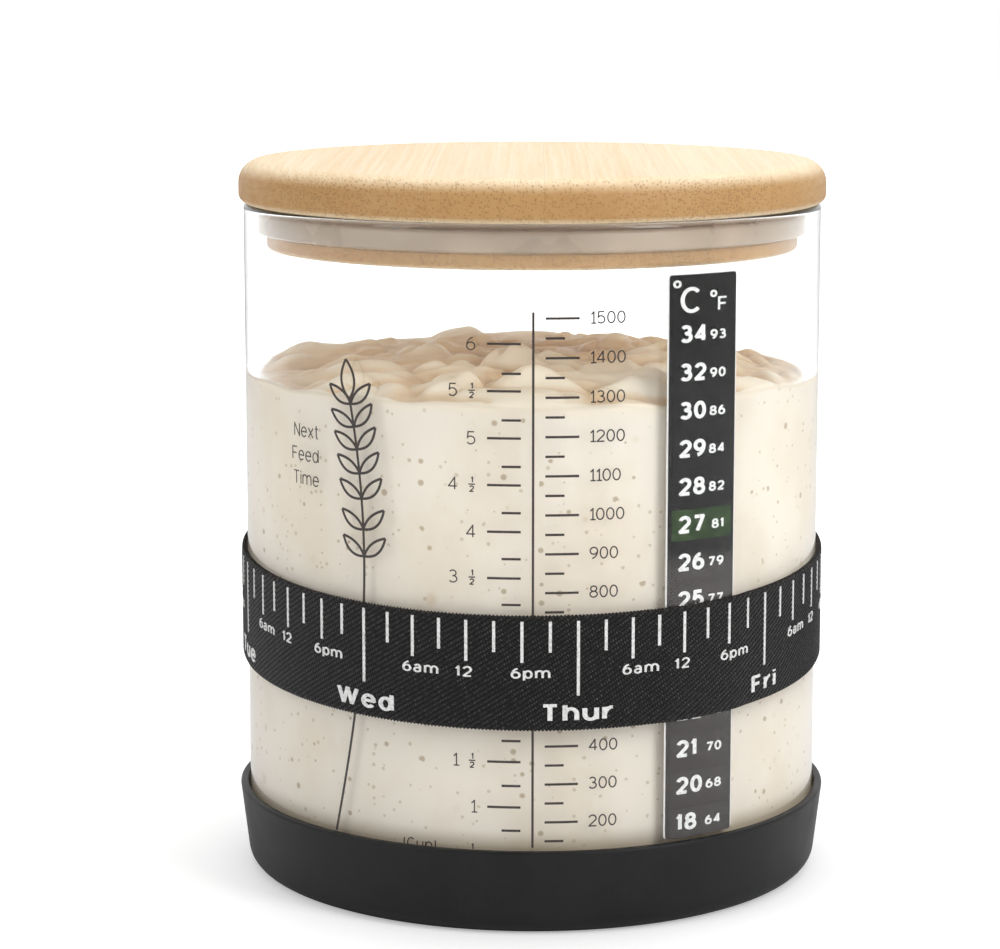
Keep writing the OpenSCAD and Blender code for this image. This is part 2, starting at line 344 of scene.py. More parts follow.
def smooth_noise(x, y, z, seed):
    """Values from -1 to 1 on a lattice of unit cells, blended in each cell by t^3 (6 t^2 - 15 t + 10)."""
    knots = np.random.default_rng(seed).uniform(-1, 1, (32, 32, 32))
    total = 0
    whole = [np.floor(value).astype(int) for value in (x, y, z)]
    share = [value - low for value, low in zip((x, y, z), whole)]
    share = [t ** 3 * (6 * t * t - 15 * t + 10) for t in share]
    for corner in np.ndindex(2, 2, 2):
        weight = 1
        for t, side in zip(share, corner):
            weight = weight * (t if side else 1 - t)
        total = total + weight * knots[tuple((low + side) % 32 for low, side in zip(whole, corner))]
    return total


# %% [markdown]
# The dough is one closed surface: a floor, a heel, a side that is pressed against the glass, and a top. It
# reaches 0.05 mm into the glass, because real dough wets it and a film of air there would show as silver. The
# fold depths are kept as an attribute, which the finish reads to paint shade into the creases and a highlight on
# the crests.

# %% The dough
DOUGH_PRESS = 0.05
DOUGH_R = INNER_R + DOUGH_PRESS
DOUGH_FLOOR = INNER_FLOOR - DOUGH_PRESS
HEEL_END = 30
DOUGH_EDGE = in_mm(dough_high.z) + 1.2
DOUGH_CROWN = 2.6
COLUMNS = 480
SIDE_ROWS = 104
TOP_ROWS = 84
around = np.arange(COLUMNS) * 2 * math.pi / COLUMNS


def edge_height(angle):
    """Height in mm at which the dough's edge touches the glass: slow noise read on a circle."""
    slow = smooth_noise(4 + 1.3 * np.sin(angle), 7 + 1.3 * np.cos(angle), 0.5 + 0 * angle, 3)
    quick = smooth_noise(9 + 4.2 * np.sin(angle), 5 + 4.2 * np.cos(angle), 2.5 + 0 * angle, 5)
    return DOUGH_EDGE + 1.9 * slow + 1.7 * quick


def fold_height(x, y):
    """Height of the folds at a place, in mm: sharply creased puffs on slow swells, under fine wrinkles."""
    bend_x = 7 * smooth_noise(x / 21, y / 21, 0.3 + 0 * x, 11)
    bend_y = 7 * smooth_noise(x / 21, y / 21, 8.3 + 0 * x, 12)
    puffs = np.abs(smooth_noise((x + bend_x) / 19, (y + bend_y) / 10, 1.7 + 0 * x, 13))
    small = np.abs(smooth_noise((x + bend_y) / 7.5, (y - bend_x) / 4.5, 3.1 + 0 * x, 14))
    swell = smooth_noise(x / 38, y / 34, 5.2 + 0 * x, 15)
    fine = smooth_noise(x / 1.9, y / 1.5, 2.2 + 0 * x, 16)
    return 5.4 * puffs + 2.2 * small + 1.8 * swell + 0.15 * fine - 2.6


def dough_rows():
    """Rows of (r, z) in mm from the floor's pole to the top's pole, for all columns, and the number of rows in
    the floor and heel.
    """
    lower = rounded([(0, DOUGH_FLOOR, 0), (DOUGH_R, DOUGH_FLOOR, INNER_HEEL), (DOUGH_R, HEEL_END, 0)])
    lower = lower[1:-1] / MM
    radius = [lower[:, :1] + 0 * around]
    height = [lower[:, 1:] + 0 * around]
    climb = np.linspace(0, 1, SIDE_ROWS)[1:, None]
    radius.append(DOUGH_R + 0 * (climb + around))
    height.append(lower[-1, 1] + climb * (edge_height(around) - lower[-1, 1]))
    share = 1 - np.linspace(0, 1, TOP_ROWS)[1:-1, None] ** 0.9
    top_x, top_y = share * DOUGH_R * np.sin(around), -share * DOUGH_R * np.cos(around)
    inner = DOUGH_EDGE + DOUGH_CROWN * (1 - share ** 2) + fold_height(top_x, top_y)
    radius.append(share * DOUGH_R + 0 * around)
    height.append(edge_height(around) + (inner - edge_height(around)) * (1 - share ** 18))
    return np.concatenate(radius), np.concatenate(height), len(lower)


radius, height, floor_rows = dough_rows()
points = np.stack([radius * np.sin(around), -radius * np.cos(around), height], -1).reshape(-1, 3)
pole = len(points)
j = np.arange(COLUMNS)
last = pole - COLUMNS
centre_height = height[-1].mean()
points = np.concatenate([points, [[0, 0, DOUGH_FLOOR], [0, 0, centre_height]]]) * MM
faces = [
    grid_faces(len(radius), COLUMNS),
    np.stack([0 * j + pole, (j + 1) % COLUMNS, j], 1),
    np.stack([last + j, last + (j + 1) % COLUMNS, 0 * j + pole + 1], 1),
]
dough = make_mesh("dough", points, faces)

# %% [markdown]
# The dough's finish reads two attributes. Skin is 1 on the open top and fades out a few millimetres down the
# glass, where the dried tan skin gives way to pale dough. The other holds how deep a point lies in the folds,
# from which the finish paints shade into the deep creases and a highlight onto the crests. Specks are small
# dots from Voronoi cells, most of which stay empty, and wider faint spots stand for gas just under the surface.
# Just above the boot's rim the pale dough is darkened as painted shade.

# %% The dough's finish
top_first = floor_rows + SIDE_ROWS - 1
rows = np.arange(len(radius))[:, None] + 0 * around
drip = 2.2 + 2.0 * smooth_noise(3 + 5 * np.sin(around), 3 + 5 * np.cos(around), 1.5 + 0 * around, 31)
below_edge = np.clip(edge_height(around) - height, 0, None)
skin = np.where(rows >= top_first, 1.0, np.clip(1 - below_edge / drip, 0, 1))
flat = np.zeros_like(height)
flat[top_first:] = fold_height(radius * np.sin(around), -radius * np.cos(around))[top_first:]
# Fold depth for painted light: about 0.6 on plain dough, higher in deep creases, lower on the crests.
crease = np.clip(0.6 - 0.2 * flat, 0, 1) * (rows >= top_first)
for name, values in (("skin", skin), ("crease", crease)):
    attribute = dough.data.attributes.new(name, "FLOAT", "POINT")
    with_poles = np.append(values.ravel(), [values[0, 0], values[-1, 0]])
    attribute.data.foreach_set("value", with_poles.astype(np.float32))

dough_finish, tree = new_finish("starter_dough", Roughness=0.42, Specular_IOR_Level=0.45)


def spots(tree, scale, share, size, seed, soft=0.5):
    """Dots in some cells of a Voronoi pattern: that share of the cells hold one, up to that size in cells."""
    cells = add(tree, "TexVoronoi", {"Vector": place_of(tree, shift=(seed, 0, 0)), "Scale": scale})
    chance = add(tree, "SeparateColor", {0: cells.outputs["Color"]})
    edge = sum_of(tree, "MULTIPLY", chance.outputs[1], size)
    dot = fade(tree, sum_of(tree, "DIVIDE", cells.outputs["Distance"], edge), soft, 1.0, 1.0, 0.0)
    held = sum_of(tree, "LESS_THAN", chance.outputs[0], share)
    return sum_of(tree, "MULTIPLY", dot, held)


mottle = add(tree, "TexNoise", {"Vector": place_of(tree, (1, 1, 0.7)), "Scale": 55, "Detail": 4}).outputs[0]
cloud = add(tree, "TexNoise", {"Vector": place_of(tree), "Scale": 210, "Detail": 3}).outputs[0]
skin_here = add(tree, "Attribute", attribute_name="skin").outputs["Fac"]
crease_shade_here = add(tree, "Attribute", attribute_name="crease").outputs["Fac"]
pale = blend(tree, fade(tree, mottle, 0.38, 0.68), (0.93, 0.865, 0.765), (0.875, 0.79, 0.665))
SPECKS = {
    "gas": ((190, 0.16, 0.42, 3.1, 0.2), 0.4, (0.66, 0.50, 0.30)),
    "bran": ((520, 0.10, 0.5, 1.7, 0.5), 0.7, (0.42, 0.30, 0.155)),
    "flour": ((900, 0.10, 0.6, 5.7, 0.5), 0.5, (0.50, 0.38, 0.21)),
}
for pattern, strength, colour in SPECKS.values():
    pale = blend(tree, sum_of(tree, "MULTIPLY", spots(tree, *pattern), strength), pale, colour)
# Painted shade: the pale dough is darkened below about 23 mm, just above the boot's rim.
low = add(tree, "SeparateXYZ", {0: place_of(tree)}).outputs[2]
pale = blend(tree, fade(tree, low, 0.0185, 0.023, 0.65, 0.0), pale, (0.42, 0.33, 0.21))
tan = blend(tree, fade(tree, cloud, 0.3, 0.7), (0.72, 0.51, 0.29), (0.82, 0.64, 0.42))
# Painted highlight on the fold crests, then painted shade in the deep creases.
tan = blend(tree, fade(tree, crease_shade_here, 0.15, 0.6), (0.95, 0.85, 0.69), tan)
tan = blend(tree, fade(tree, crease_shade_here, 0.7, 1.0, 0.0, 0.6), tan, (0.52, 0.31, 0.14))
fill(tree, principled(tree), {
    "Base Color": blend(tree, skin_here, pale, tan),
    "Roughness": fade(tree, cloud, 0.3, 0.7, 0.34, 0.5),
})
bump(tree, cloud, 0.0003, 0.35)
dress(dough, dough_finish, "jar", "starter_dough", "starter")

# %% [markdown]
# The lid is one board of glued bamboo strips, turned to a disc that covers the rim, a shoulder, a groove for
# the ring and a flange below it. Bamboo has no rings: its fibres run one way, and where they are cut across
# they show as dark dots. A solid pattern does both at once. Cells that are thin across the fibres and long
# along them are dots on the sides that face front and back, and streaks on top. Each glued strip gets its
# own shade from its place across the board.

# %% The lid
SHOULDER_R = INNER_R - 2.2
GROOVE_R = SHOULDER_R - 2.3
SEAL_TOP = LID_Z - 1.7
SEAL_LOW = SEAL_TOP - 4.7
PLUG_LOW = in_mm(lid_low.z)
lid_profile = rounded([
    (0, PLUG_LOW, 0),
    (SHOULDER_R, PLUG_LOW, 1.2),
    (SHOULDER_R, SEAL_LOW, 0.45),
    (GROOVE_R, SEAL_LOW, 0),
    (GROOVE_R, SEAL_TOP, 0),
    (SHOULDER_R, SEAL_TOP, 0.2),
    (SHOULDER_R, LID_Z, 0.3),
    (LID_R, LID_Z, 2.0),
    (LID_R, LID_TOP, 5.0),
    (0, LID_TOP, 0),
])

STRIP_PITCH = 0.0242
STRIP_SHIFT = 0.0216
bamboo, tree = new_finish("bamboo", Roughness=0.42, Specular_IOR_Level=0.4)
place = place_of(tree)
across = add(tree, "SeparateXYZ", {0: place}).outputs[0]
strips_over = sum_of(tree, "DIVIDE", sum_of(tree, "ADD", across, STRIP_SHIFT), STRIP_PITCH)
strip_number = sum_of(tree, "FLOOR", strips_over)
strip_shade = add(tree, "TexWhiteNoise", {"W": strip_number}, noise_dimensions="1D").outputs["Value"]
shifted = add(tree, "CombineXYZ", {1: sum_of(tree, "MULTIPLY", strip_number, 0.031)}).outputs[0]
fibre_place = add(tree, "VectorMath", {0: place, 1: shifted}, operation="ADD").outputs[0]
wobble = add(tree, "TexNoise", {"Vector": fibre_place, "Scale": 90, "Detail": 2})
wobbled = add(tree, "VectorMath", {0: wobble.outputs["Color"], 1: (0.0005, 0.0, 0.0005)}, operation="MULTIPLY")
bundle_place = add(tree, "VectorMath", {0: fibre_place, 1: wobbled.outputs[0]}, operation="ADD").outputs[0]
bundle_cells = add(tree, "Mapping", {"Vector": bundle_place, "Scale": (1650, 34, 1650)}).outputs[0]
bundles = add(tree, "TexVoronoi", {"Vector": bundle_cells, "Scale": 1.0, "Randomness": 0.75})
bundle_size = add(tree, "SeparateColor", {0: bundles.outputs["Color"]}).outputs[0]
edge = sum_of(tree, "MULTIPLY_ADD", bundle_size, 0.16, 0.3)
dots = fade(tree, sum_of(tree, "DIVIDE", bundles.outputs["Distance"], edge), 0.55, 1.25, 1.0, 0.0)
streak_place = add(tree, "Mapping", {"Vector": fibre_place, "Scale": (900, 7, 900)}).outputs[0]
streak_noise = {"Vector": streak_place, "Scale": 1.0, "Detail": 4, "Roughness": 0.65}
streaks = add(tree, "TexNoise", streak_noise).outputs[0]
broad_place = add(tree, "Mapping", {"Vector": fibre_place, "Scale": (150, 5, 120)}).outputs[0]
broad = add(tree, "TexNoise", {"Vector": broad_place, "Scale": 1.0, "Detail": 2}).outputs[0]
facing = add(tree, "SeparateXYZ", {0: add(tree, "NewGeometry").outputs["Normal"]})
end_grain = fade(tree, sum_of(tree, "ABSOLUTE", facing.outputs[1]), 0.25, 0.75)
wood = blend(tree, fade(tree, streaks, 0.3, 0.7), (0.90, 0.74, 0.50), (0.84, 0.64, 0.39))
wood = blend(tree, fade(tree, broad, 0.3, 0.7, 0.0, 0.4), wood, (0.77, 0.54, 0.29))
wood = blend(tree, sum_of(tree, "MULTIPLY", strip_shade, 0.4), wood, (0.94, 0.80, 0.58))
# Painted shade: the upright sides of the lid are darker than its top.
painted_side_shade = fade(tree, sum_of(tree, "ABSOLUTE", facing.outputs[2]), 0.3, 0.95, 1.0, 0.0)
wood = blend(tree, painted_side_shade, wood, (0.60, 0.43, 0.25), "MULTIPLY")
dot_share = sum_of(tree, "MULTIPLY", dots, sum_of(tree, "MULTIPLY_ADD", end_grain, 0.5, 0.05))
wood = blend(tree, dot_share, wood, (0.30, 0.15, 0.05))
from_middle = sum_of(tree, "ABSOLUTE", sum_of(tree, "SUBTRACT", sum_of(tree, "FRACT", strips_over), 0.5))
seam = fade(tree, from_middle, 0.494, 0.5, 0.0, 0.2)
fill(tree, principled(tree), {
    "Base Color": blend(tree, seam, wood, (0.34, 0.17, 0.06)),
    "Roughness": fade(tree, streaks, 0.3, 0.7, 0.38, 0.52),
})
bump(tree, sum_of(tree, "SUBTRACT", streaks, dots), 0.00006, 0.7)
dress(turned("lid", lid_profile, 384), bamboo, "lid", "bamboo", "lid_board")

# %% [markdown]
# The ring in the lid's groove is clear silicone, which looks milky because it scatters light. It swells a
# little between its two soft edges, and is made as its own closed ring, so that the lid can turn in it.

# %% The sealing ring
SEAL_OUT = round(in_mm(seal_high.x), 2)
seal_profile = rounded([
    (GROOVE_R + 0.05, SEAL_LOW + 0.05, 0.2),
    (SEAL_OUT - 0.25, SEAL_LOW + 0.05, 0.9),
    (SEAL_OUT, 0.5 * (SEAL_LOW + SEAL_TOP), 14),
    (SEAL_OUT - 0.25, SEAL_TOP, 0.9),
    (GROOVE_R + 0.05, SEAL_TOP, 0.2),
], closed=True)
clear_silicone, tree = new_finish("clear_silicone", Roughness=0.28, Specular_IOR_Level=0.5,
                                  Subsurface_Weight=0.35, Subsurface_Radius=(1.0, 0.75, 0.6),
                                  Subsurface_Scale=0.003)
haze = add(tree, "TexNoise", {"Vector": place_of(tree), "Scale": 45, "Detail": 3}).outputs[0]
fill(tree, principled(tree), {
    "Base Color": blend(tree, fade(tree, haze, 0.3, 0.7), (0.34, 0.25, 0.17), (0.50, 0.395, 0.29)),
    "Roughness": fade(tree, haze, 0.3, 0.7, 0.24, 0.34),
})
dress(turned("seal_ring", seal_profile), clear_silicone, "seal", "clear_silicone", "lid_seal")

# %% [markdown]
# The band is woven elastic in a twill, so fine slanting ridges cross it from edge to edge. It hugs the glass
# and rises over the thermometer strip. It hangs a little lower in front than behind. Two numbers place any
# point of it: s, the distance round the jar from the front, and v, the distance up from the band's middle.
# The grid's columns run along the ridges, so that few points carry many of them.

# %% The band's path
BAND_W = 24.5
BAND_LEVEL = 62.2
BAND_TILT = math.radians(4)
BAND_T = 1.1
BAND_GAP = 0.16
BAND_R = GLASS_R + BAND_GAP + BAND_T
STRIP_TURN = math.radians(33.8)
STRIP_W = 18.0
STRIP_RISE = 0.4
STRIP_SLOPE = 5.0
BAND_ROUND = 2 * math.pi * BAND_R


def on_band(s, v, lift):
    """The point at s round the band, v up from its middle and lift off its outer face, in metres. Its radius
    grows over the strip, and its height is level + (v + y sin tilt) / cos tilt."""
    angle = s / BAND_R
    from_strip = (angle - STRIP_TURN + math.pi) % (2 * math.pi) - math.pi
    over = np.clip((STRIP_W / 2 + STRIP_SLOPE - np.abs(from_strip) * BAND_R) / STRIP_SLOPE, 0, 1)
    r = BAND_R + STRIP_RISE * over * over * (3 - 2 * over) + lift
    y = -r * np.cos(angle)
    z = BAND_LEVEL + (v + y * math.sin(BAND_TILT)) / math.cos(BAND_TILT)
    return np.stack([r * np.sin(angle), y, z], -1) * MM


# %% The band
RIDGES = 236
RIDGE_STEPS = 6
RIDGE_S = BAND_ROUND / RIDGES
RIDGE_V = 1.12
RIDGE_H = 0.09
ridge_columns = np.arange(RIDGES * RIDGE_STEPS) / RIDGE_STEPS


def band_section():
    """Across the band from the lower edge up its outer face and down its inner face: v, lift, and how much of
    the ridges shows there. The edges are rounded by half the thickness."""
    turn = np.linspace(-0.5, 0.5, 5)[1:-1] * math.pi
    face = np.linspace(-1, 1, 41) * (0.5 * BAND_W - 0.35)
    outer = [(v, 0.0, 1.0) for v in face]
    top = [(0.5 * BAND_W - 0.35 + 0.35 * math.cos(a), -0.5 * BAND_T * (1 + math.sin(a)), 0.3) for a in turn]
    inner = [(v, -BAND_T, 0.0) for v in face[::-4]]
    low = [(-v, lift, share) for v, lift, share in top[::-1]]
    return np.array(outer + top + inner + low)


section = band_section()
v, lift, ridge_share = (section[:, k][:, None] for k in range(3))
s = RIDGE_S * (ridge_columns + v / RIDGE_V)
ridge = RIDGE_H * np.cos(2 * math.pi * ridge_columns) * ridge_share
points = on_band(s, v + 0 * s, lift + ridge)
band_faces = grid_faces(len(section), len(ridge_columns), round_rows=True)
band = make_mesh("band", points.reshape(-1, 3), [band_faces])

# %% [markdown]
# Each ridge is a row of thread floats. The finish finds the same s and v from the object's own coordinates,
# splits the ridges into floats that are offset from row to row, and rounds each one. Threads are black, with
# a thin grey highlight painted on their crowns that is brighter on some floats than on others.

# %% The band's finish
FLOAT_LENGTH = 0.62
RIDGE_ANGLE = math.atan2(RIDGE_V, RIDGE_S)


def weave(tree):
    """Height from 0 to 1 of the floats, and a random number for each float."""
    place = add(tree, "SeparateXYZ", {0: place_of(tree, (1 / MM, 1 / MM, 1 / MM))})
    x, y, z = place.outputs
    angle = sum_of(tree, "ARCTAN2", x, sum_of(tree, "MULTIPLY", y, -1.0))
    s = sum_of(tree, "MULTIPLY", angle, BAND_R)
    rise = sum_of(tree, "MULTIPLY", sum_of(tree, "SUBTRACT", z, BAND_LEVEL), math.cos(BAND_TILT))
    v = sum_of(tree, "MULTIPLY_ADD", y, -math.sin(BAND_TILT), rise)
    row = sum_of(tree, "SUBTRACT", sum_of(tree, "DIVIDE", s, RIDGE_S), sum_of(tree, "DIVIDE", v, RIDGE_V))
    row = sum_of(tree, "ADD", row, 0.5)
    along = sum_of(tree, "ADD", sum_of(tree, "MULTIPLY", s, math.cos(RIDGE_ANGLE)),
                   sum_of(tree, "MULTIPLY", v, math.sin(RIDGE_ANGLE)))
    row_number = sum_of(tree, "FLOOR", row)
    along = sum_of(tree, "MULTIPLY_ADD", row_number, 0.5, sum_of(tree, "DIVIDE", along, FLOAT_LENGTH))
    width = sum_of(tree, "SINE", sum_of(tree, "MULTIPLY", sum_of(tree, "FRACT", row), math.pi))
    length = sum_of(tree, "SINE", sum_of(tree, "MULTIPLY", sum_of(tree, "FRACT", along), math.pi))
    pillow = sum_of(tree, "SQRT", sum_of(tree, "MULTIPLY", width, length))
    number = add(tree, "CombineXYZ", {0: row_number, 1: sum_of(tree, "FLOOR", along)}).outputs[0]
    chance = add(tree, "TexWhiteNoise", {"Vector": number}).outputs["Value"]
    return pillow, chance


webbing, tree = new_finish("webbing", Roughness=0.75, Specular_IOR_Level=0.3, Sheen_Weight=0.12,
                           Sheen_Roughness=0.4)
pillow, chance = weave(tree)
fibres = add(tree, "TexNoise", {"Vector": place_of(tree), "Scale": 3200, "Detail": 3}).outputs[0]
# Painted highlight: the crowns of the floats are coloured grey, more on some floats than on others.
crown = fade(tree, pillow, 0.5, 0.98)
crown_highlight = sum_of(tree, "MULTIPLY", crown, sum_of(tree, "MULTIPLY_ADD", chance, 0.8, 0.1))
thread = blend(tree, sum_of(tree, "MULTIPLY", crown_highlight, fade(tree, fibres, 0.35, 0.65)), (0.0075, 0.0072, 0.0072),
               (0.085, 0.08, 0.078))
fill(tree, principled(tree), {
    "Base Color": thread,
    "Roughness": fade(tree, pillow, 0.2, 1.0, 0.9, 0.62),
})
bump(tree, sum_of(tree, "MULTIPLY_ADD", fibres, 0.2, pillow), 0.00022, 0.9)
dress(band, webbing, "band", "black_webbing", "band_webbing")

# %% [markdown]
# The edge of woven elastic is bound by the weft as it turns back, a chain of tiny loops. Each edge gets one
# yarn that winds round it like a spring: a tube swept along a helix, all of it worked out as one array.

# %% The band's edges
EDGE_LOOPS = 520
LOOP_STEPS = 7
YARN_R = 0.17
YARN_SIDES = 5


def swept(path, radius, sides, closed=True):
    """Points of a tube with round sections square to a path. The section turns with the path's own tangent t:
    it is spanned by t x up and t x (t x up)."""
    ahead = np.roll(path, -1, 0) - np.roll(path, 1, 0)
    if not closed:
        ahead[0], ahead[-1] = path[1] - path[0], path[-1] - path[-2]
    ahead /= np.linalg.norm(ahead, axis=1)[:, None]
    outward = path * (1, 1, 0)
    outward /= np.linalg.norm(outward, axis=1)[:, None]
    side = np.cross(ahead, outward)
    side /= np.linalg.norm(side, axis=1)[:, None]
    other = np.cross(side, ahead)
    turn = np.arange(sides) * 2 * math.pi / sides
    ring = np.cos(turn)[None, :, None] * other[:, None] + np.sin(turn)[None, :, None] * side[:, None]
    return (path[:, None] + radius * ring).reshape(-1, 3)


def edge_yarn(side):
    """The helix round one edge, with side +1 above and -1 below: it passes out and in through the band."""
    turn = np.arange(EDGE_LOOPS * LOOP_STEPS) * 2 * math.pi / LOOP_STEPS
    s = np.arange(len(turn)) * BAND_ROUND / len(turn)
    v = side * (0.5 * BAND_W - 0.16 + 0.22 * np.cos(turn))
    return on_band(s, v, -0.5 * BAND_T + (0.5 * BAND_T - 0.14) * np.sin(turn))


yarns = [swept(edge_yarn(side), YARN_R * MM, YARN_SIDES) for side in (-1, 1)]
yarn_faces = grid_faces(EDGE_LOOPS * LOOP_STEPS, YARN_SIDES, round_rows=True)[:, ::-1]
edges = make_mesh("band_edges", np.concatenate(yarns), [yarn_faces, yarn_faces + len(yarns[0])])

yarn_finish, tree = new_finish("edge_yarn", Roughness=0.8, Specular_IOR_Level=0.25, Sheen_Weight=0.15)
fluff = add(tree, "TexNoise", {"Vector": place_of(tree), "Scale": 1500, "Detail": 3}).outputs[0]
fill(tree, principled(tree), {
    "Base Color": blend(tree, fade(tree, fluff, 0.35, 0.7), (0.0085, 0.008, 0.008), (0.05, 0.042, 0.036)),
    "Roughness": fade(tree, fluff, 0.3, 0.7, 0.9, 0.7),
})
bump(tree, fluff, 0.0001, 0.6)
dress(edges, yarn_finish, "band", "black_webbing")

# %% [markdown]
# At the back one end of the band is laid over the other and sewn down in two columns of slanting stitches.
# The lap is a short slab with a cut edge, and each stitch a bowed tube whose ends dive into the cloth.

# %% The lap and its seam
LAP_W = 11.0
LAP_T = 0.62
BACK_S = math.pi * BAND_R
lap_s = BACK_S + np.linspace(-0.5, 0.5, 41)[None, :] * LAP_W
lap_v = np.linspace(-0.5, 0.5, 61)[:, None] * (BAND_W - 0.3)
near_edge = np.minimum(LAP_W / 2 - np.abs(lap_s - BACK_S), (BAND_W - 0.3) / 2 - np.abs(lap_v))
round_off = np.clip(near_edge / 0.5, 0, 1)
lap_lift = 0.06 + LAP_T * np.sqrt(1 - (1 - round_off) ** 2)
lap_outer = on_band(lap_s + 0 * lap_v, lap_v + 0 * lap_s, lap_lift)
lap_inner = on_band(lap_s + 0 * lap_v, lap_v + 0 * lap_s, -0.2 + 0 * lap_lift)
points = np.concatenate([lap_outer.reshape(-1, 3), lap_inner.reshape(-1, 3)])
sheet_faces = grid_faces(61, 41, round_columns=False)
rim = np.concatenate([np.arange(41), np.arange(1, 61) * 41 + 40, 60 * 41 + np.arange(39, -1, -1),
                      np.arange(59, 0, -1) * 41])
rim_next = np.roll(rim, -1)
under = len(lap_outer.reshape(-1, 3))
lap = make_mesh("band_lap", points, [sheet_faces, sheet_faces[:, ::-1] + under,
                                     np.stack([rim_next, rim, rim + under, rim_next + under], 1)], 50)
dress(lap, webbing, "band", "black_webbing")

STITCH_ROWS = 11
SEAM_MARGIN = 3.0
COLUMN_SHIFT = 2.6
STITCH_LENGTH = 1.9
STITCH_SLANT = math.radians(35)
THREAD_R = 0.16


def stitch(column, row):
    """One stitch: a bow that rises from the cloth as sin(pi t) and slants across its column."""
    t = np.linspace(0, 1, 9)
    along = (t - 0.5) * STITCH_LENGTH
    s = BACK_S + column * COLUMN_SHIFT + along * math.cos(STITCH_SLANT)
    middle_v = (row / (STITCH_ROWS - 1) - 0.5) * (BAND_W - SEAM_MARGIN)
    v = middle_v - column * along * math.sin(STITCH_SLANT)
    return on_band(s, v, LAP_T - 0.1 + 0.2 * np.sin(math.pi * t))


stitches = [swept(stitch(column, row), THREAD_R * MM, 8, closed=False)
            for column in (-1, 1) for row in range(STITCH_ROWS)]
tube = grid_faces(9, 8)[:, ::-1]
caps = np.array([np.arange(8), 64 + np.arange(8)[::-1]])
seam_faces = [block + i * 72 for i in range(len(stitches)) for block in (tube, caps)]
seam_thread = make_mesh("seam_thread", np.concatenate(stitches), seam_faces, 50)
dress(seam_thread, yarn_finish, "band", "black_thread", "band_stitches")

# %% [markdown]
# All print is drawn with strokes: the middle line of each letter is a few straight lines and arcs in a unit
# square, and a ribbon of the wanted width follows it. One set of strokes serves the thin figures of the scale,
# the heavy ones of the thermometer and the wide letters of the band, and no font file is needed. A ribbon is a
# closed solid, a few hundredths of a millimetre thick, bent onto the surface that carries it.

# %% Strokes and letters


def arc(x, y, across, up, start, end, steps=15):
    """Points of an ellipse round (x, y), from one angle to another in degrees."""
    angle = np.radians(np.linspace(start, end, steps))
    return np.stack([x + across * np.cos(angle), y + up * np.sin(angle)], 1)


def line(*points):
    """Points joined by straight lines."""
    return np.array(points, float)


def path(*pieces):
    """One stroke from lines and arcs that follow each other."""
    return np.concatenate(pieces)


X_H = 0.76
LETTERS = {
    "0": (1, [arc(.5, .5, .5, .5, 90, 450, 33)]),
    "1": (.55, [path(line((0, .76)), line((.75, 1), (.75, 0)))]),
    "2": (1, [path(arc(.5, .71, .49, .29, 165, -38), line((0, 0), (1, 0)))]),
    "3": (1, [path(arc(.46, .76, .42, .24, 150, -85), arc(.48, .27, .5, .27, 85, -150))]),
    "4": (1.05, [line((.74, 0), (.74, 1), (0, .27), (1, .27))]),
    "5": (1, [path(line((.9, 1), (.16, 1), (.08, .5)), arc(.47, .32, .51, .32, 128, -145))]),
    "6": (1, [arc(.5, .31, .5, .31, 180, 540, 29), arc(.86, .31, .86, .69, 180, 98)]),
    "7": (1, [line((0, 1), (1, 1), (.34, 0))]),
    "8": (1, [arc(.5, .765, .41, .235, -90, 270, 25), arc(.5, .265, .5, .265, 90, 450, 29)]),
    "9": (1, [arc(.5, .69, .5, .31, 0, 360, 29), arc(.14, .69, .86, .69, 0, -82)]),
    "a": (.95, [path(arc(.47, .52, .4, .24, 155, 0), line((.87, 0))),
                path(line((.87, .43)), arc(.42, .215, .42, .215, 90, 270),
                     arc(.42, .215, .45, .215, 270, 350))]),
    "d": (1, [arc(.46, .38, .46, .38, 0, 360, 27), line((1, 0), (1, 1))]),
    "e": (1, [path(line((0, .4)), arc(.5, .38, .5, .38, 2, 318, 27))]),
    "h": (.95, [line((0, 0), (0, 1)), path(arc(.5, .4, .5, .36, 180, 0), line((1, 0)))]),
    "i": (.001, [line((0, 0), (0, X_H)), line((0, .9), (0, 1.02))]),
    "m": (1.55, [line((0, 0), (0, X_H)), path(arc(.25, .46, .25, .3, 180, 0), line((.5, 0))),
                 path(arc(.75, .46, .25, .3, 180, 0), line((1, 0)))]),
    "n": (.95, [line((0, 0), (0, X_H)), path(arc(.5, .4, .5, .36, 180, 0), line((1, 0)))]),
    "o": (1, [arc(.5, .38, .5, .38, 0, 360, 27)]),
    "p": (1, [arc(.54, .38, .46, .38, 0, 360, 27), line((0, -.27), (0, X_H))]),
    "r": (.75, [line((0, 0), (0, X_H)), arc(.95, .2, .95, .54, 165, 86)]),
    "t": (.6, [path(line((.4, 1)), arc(.78, .22, .38, .22, 180, 285)), line((0, X_H), (.95, X_H))]),
    "u": (.95, [path(line((0, X_H)), arc(.5, .36, .5, .36, 180, 360), line((1, X_H))),
                line((1, 0), (1, X_H))]),
    "x": (.9, [line((0, 0), (1, X_H)), line((0, X_H), (1, 0))]),
    "C": (1.1, [arc(.52, .5, .52, .5, 45, 315, 27)]),
    "F": (.95, [line((.95, 1), (0, 1), (0, 0)), line((0, .51), (.85, .51))]),
    "M": (1.25, [line((0, 0), (0, 1), (.5, .22), (1, 1), (1, 0))]),
    "N": (1.05, [line((0, 0), (0, 1), (1, 0), (1, 1))]),
    "S": (1.05, [path(arc(.49, .75, .45, .25, 28, 262), arc(.5, .25, .5, .25, 82, -152))]),
    "T": (1.05, [line((0, 1), (1, 1)), line((.5, 1), (.5, 0))]),
    "W": (1.6, [line((0, 1), (.27, 0), (.5, .96), (.73, 0), (1, 1))]),
    "(": (.3, [arc(1.1, .42, 1.1, .68, 125, 235)]),
    ")": (.3, [arc(-.1, .42, 1.1, .68, 55, -55)]),
}


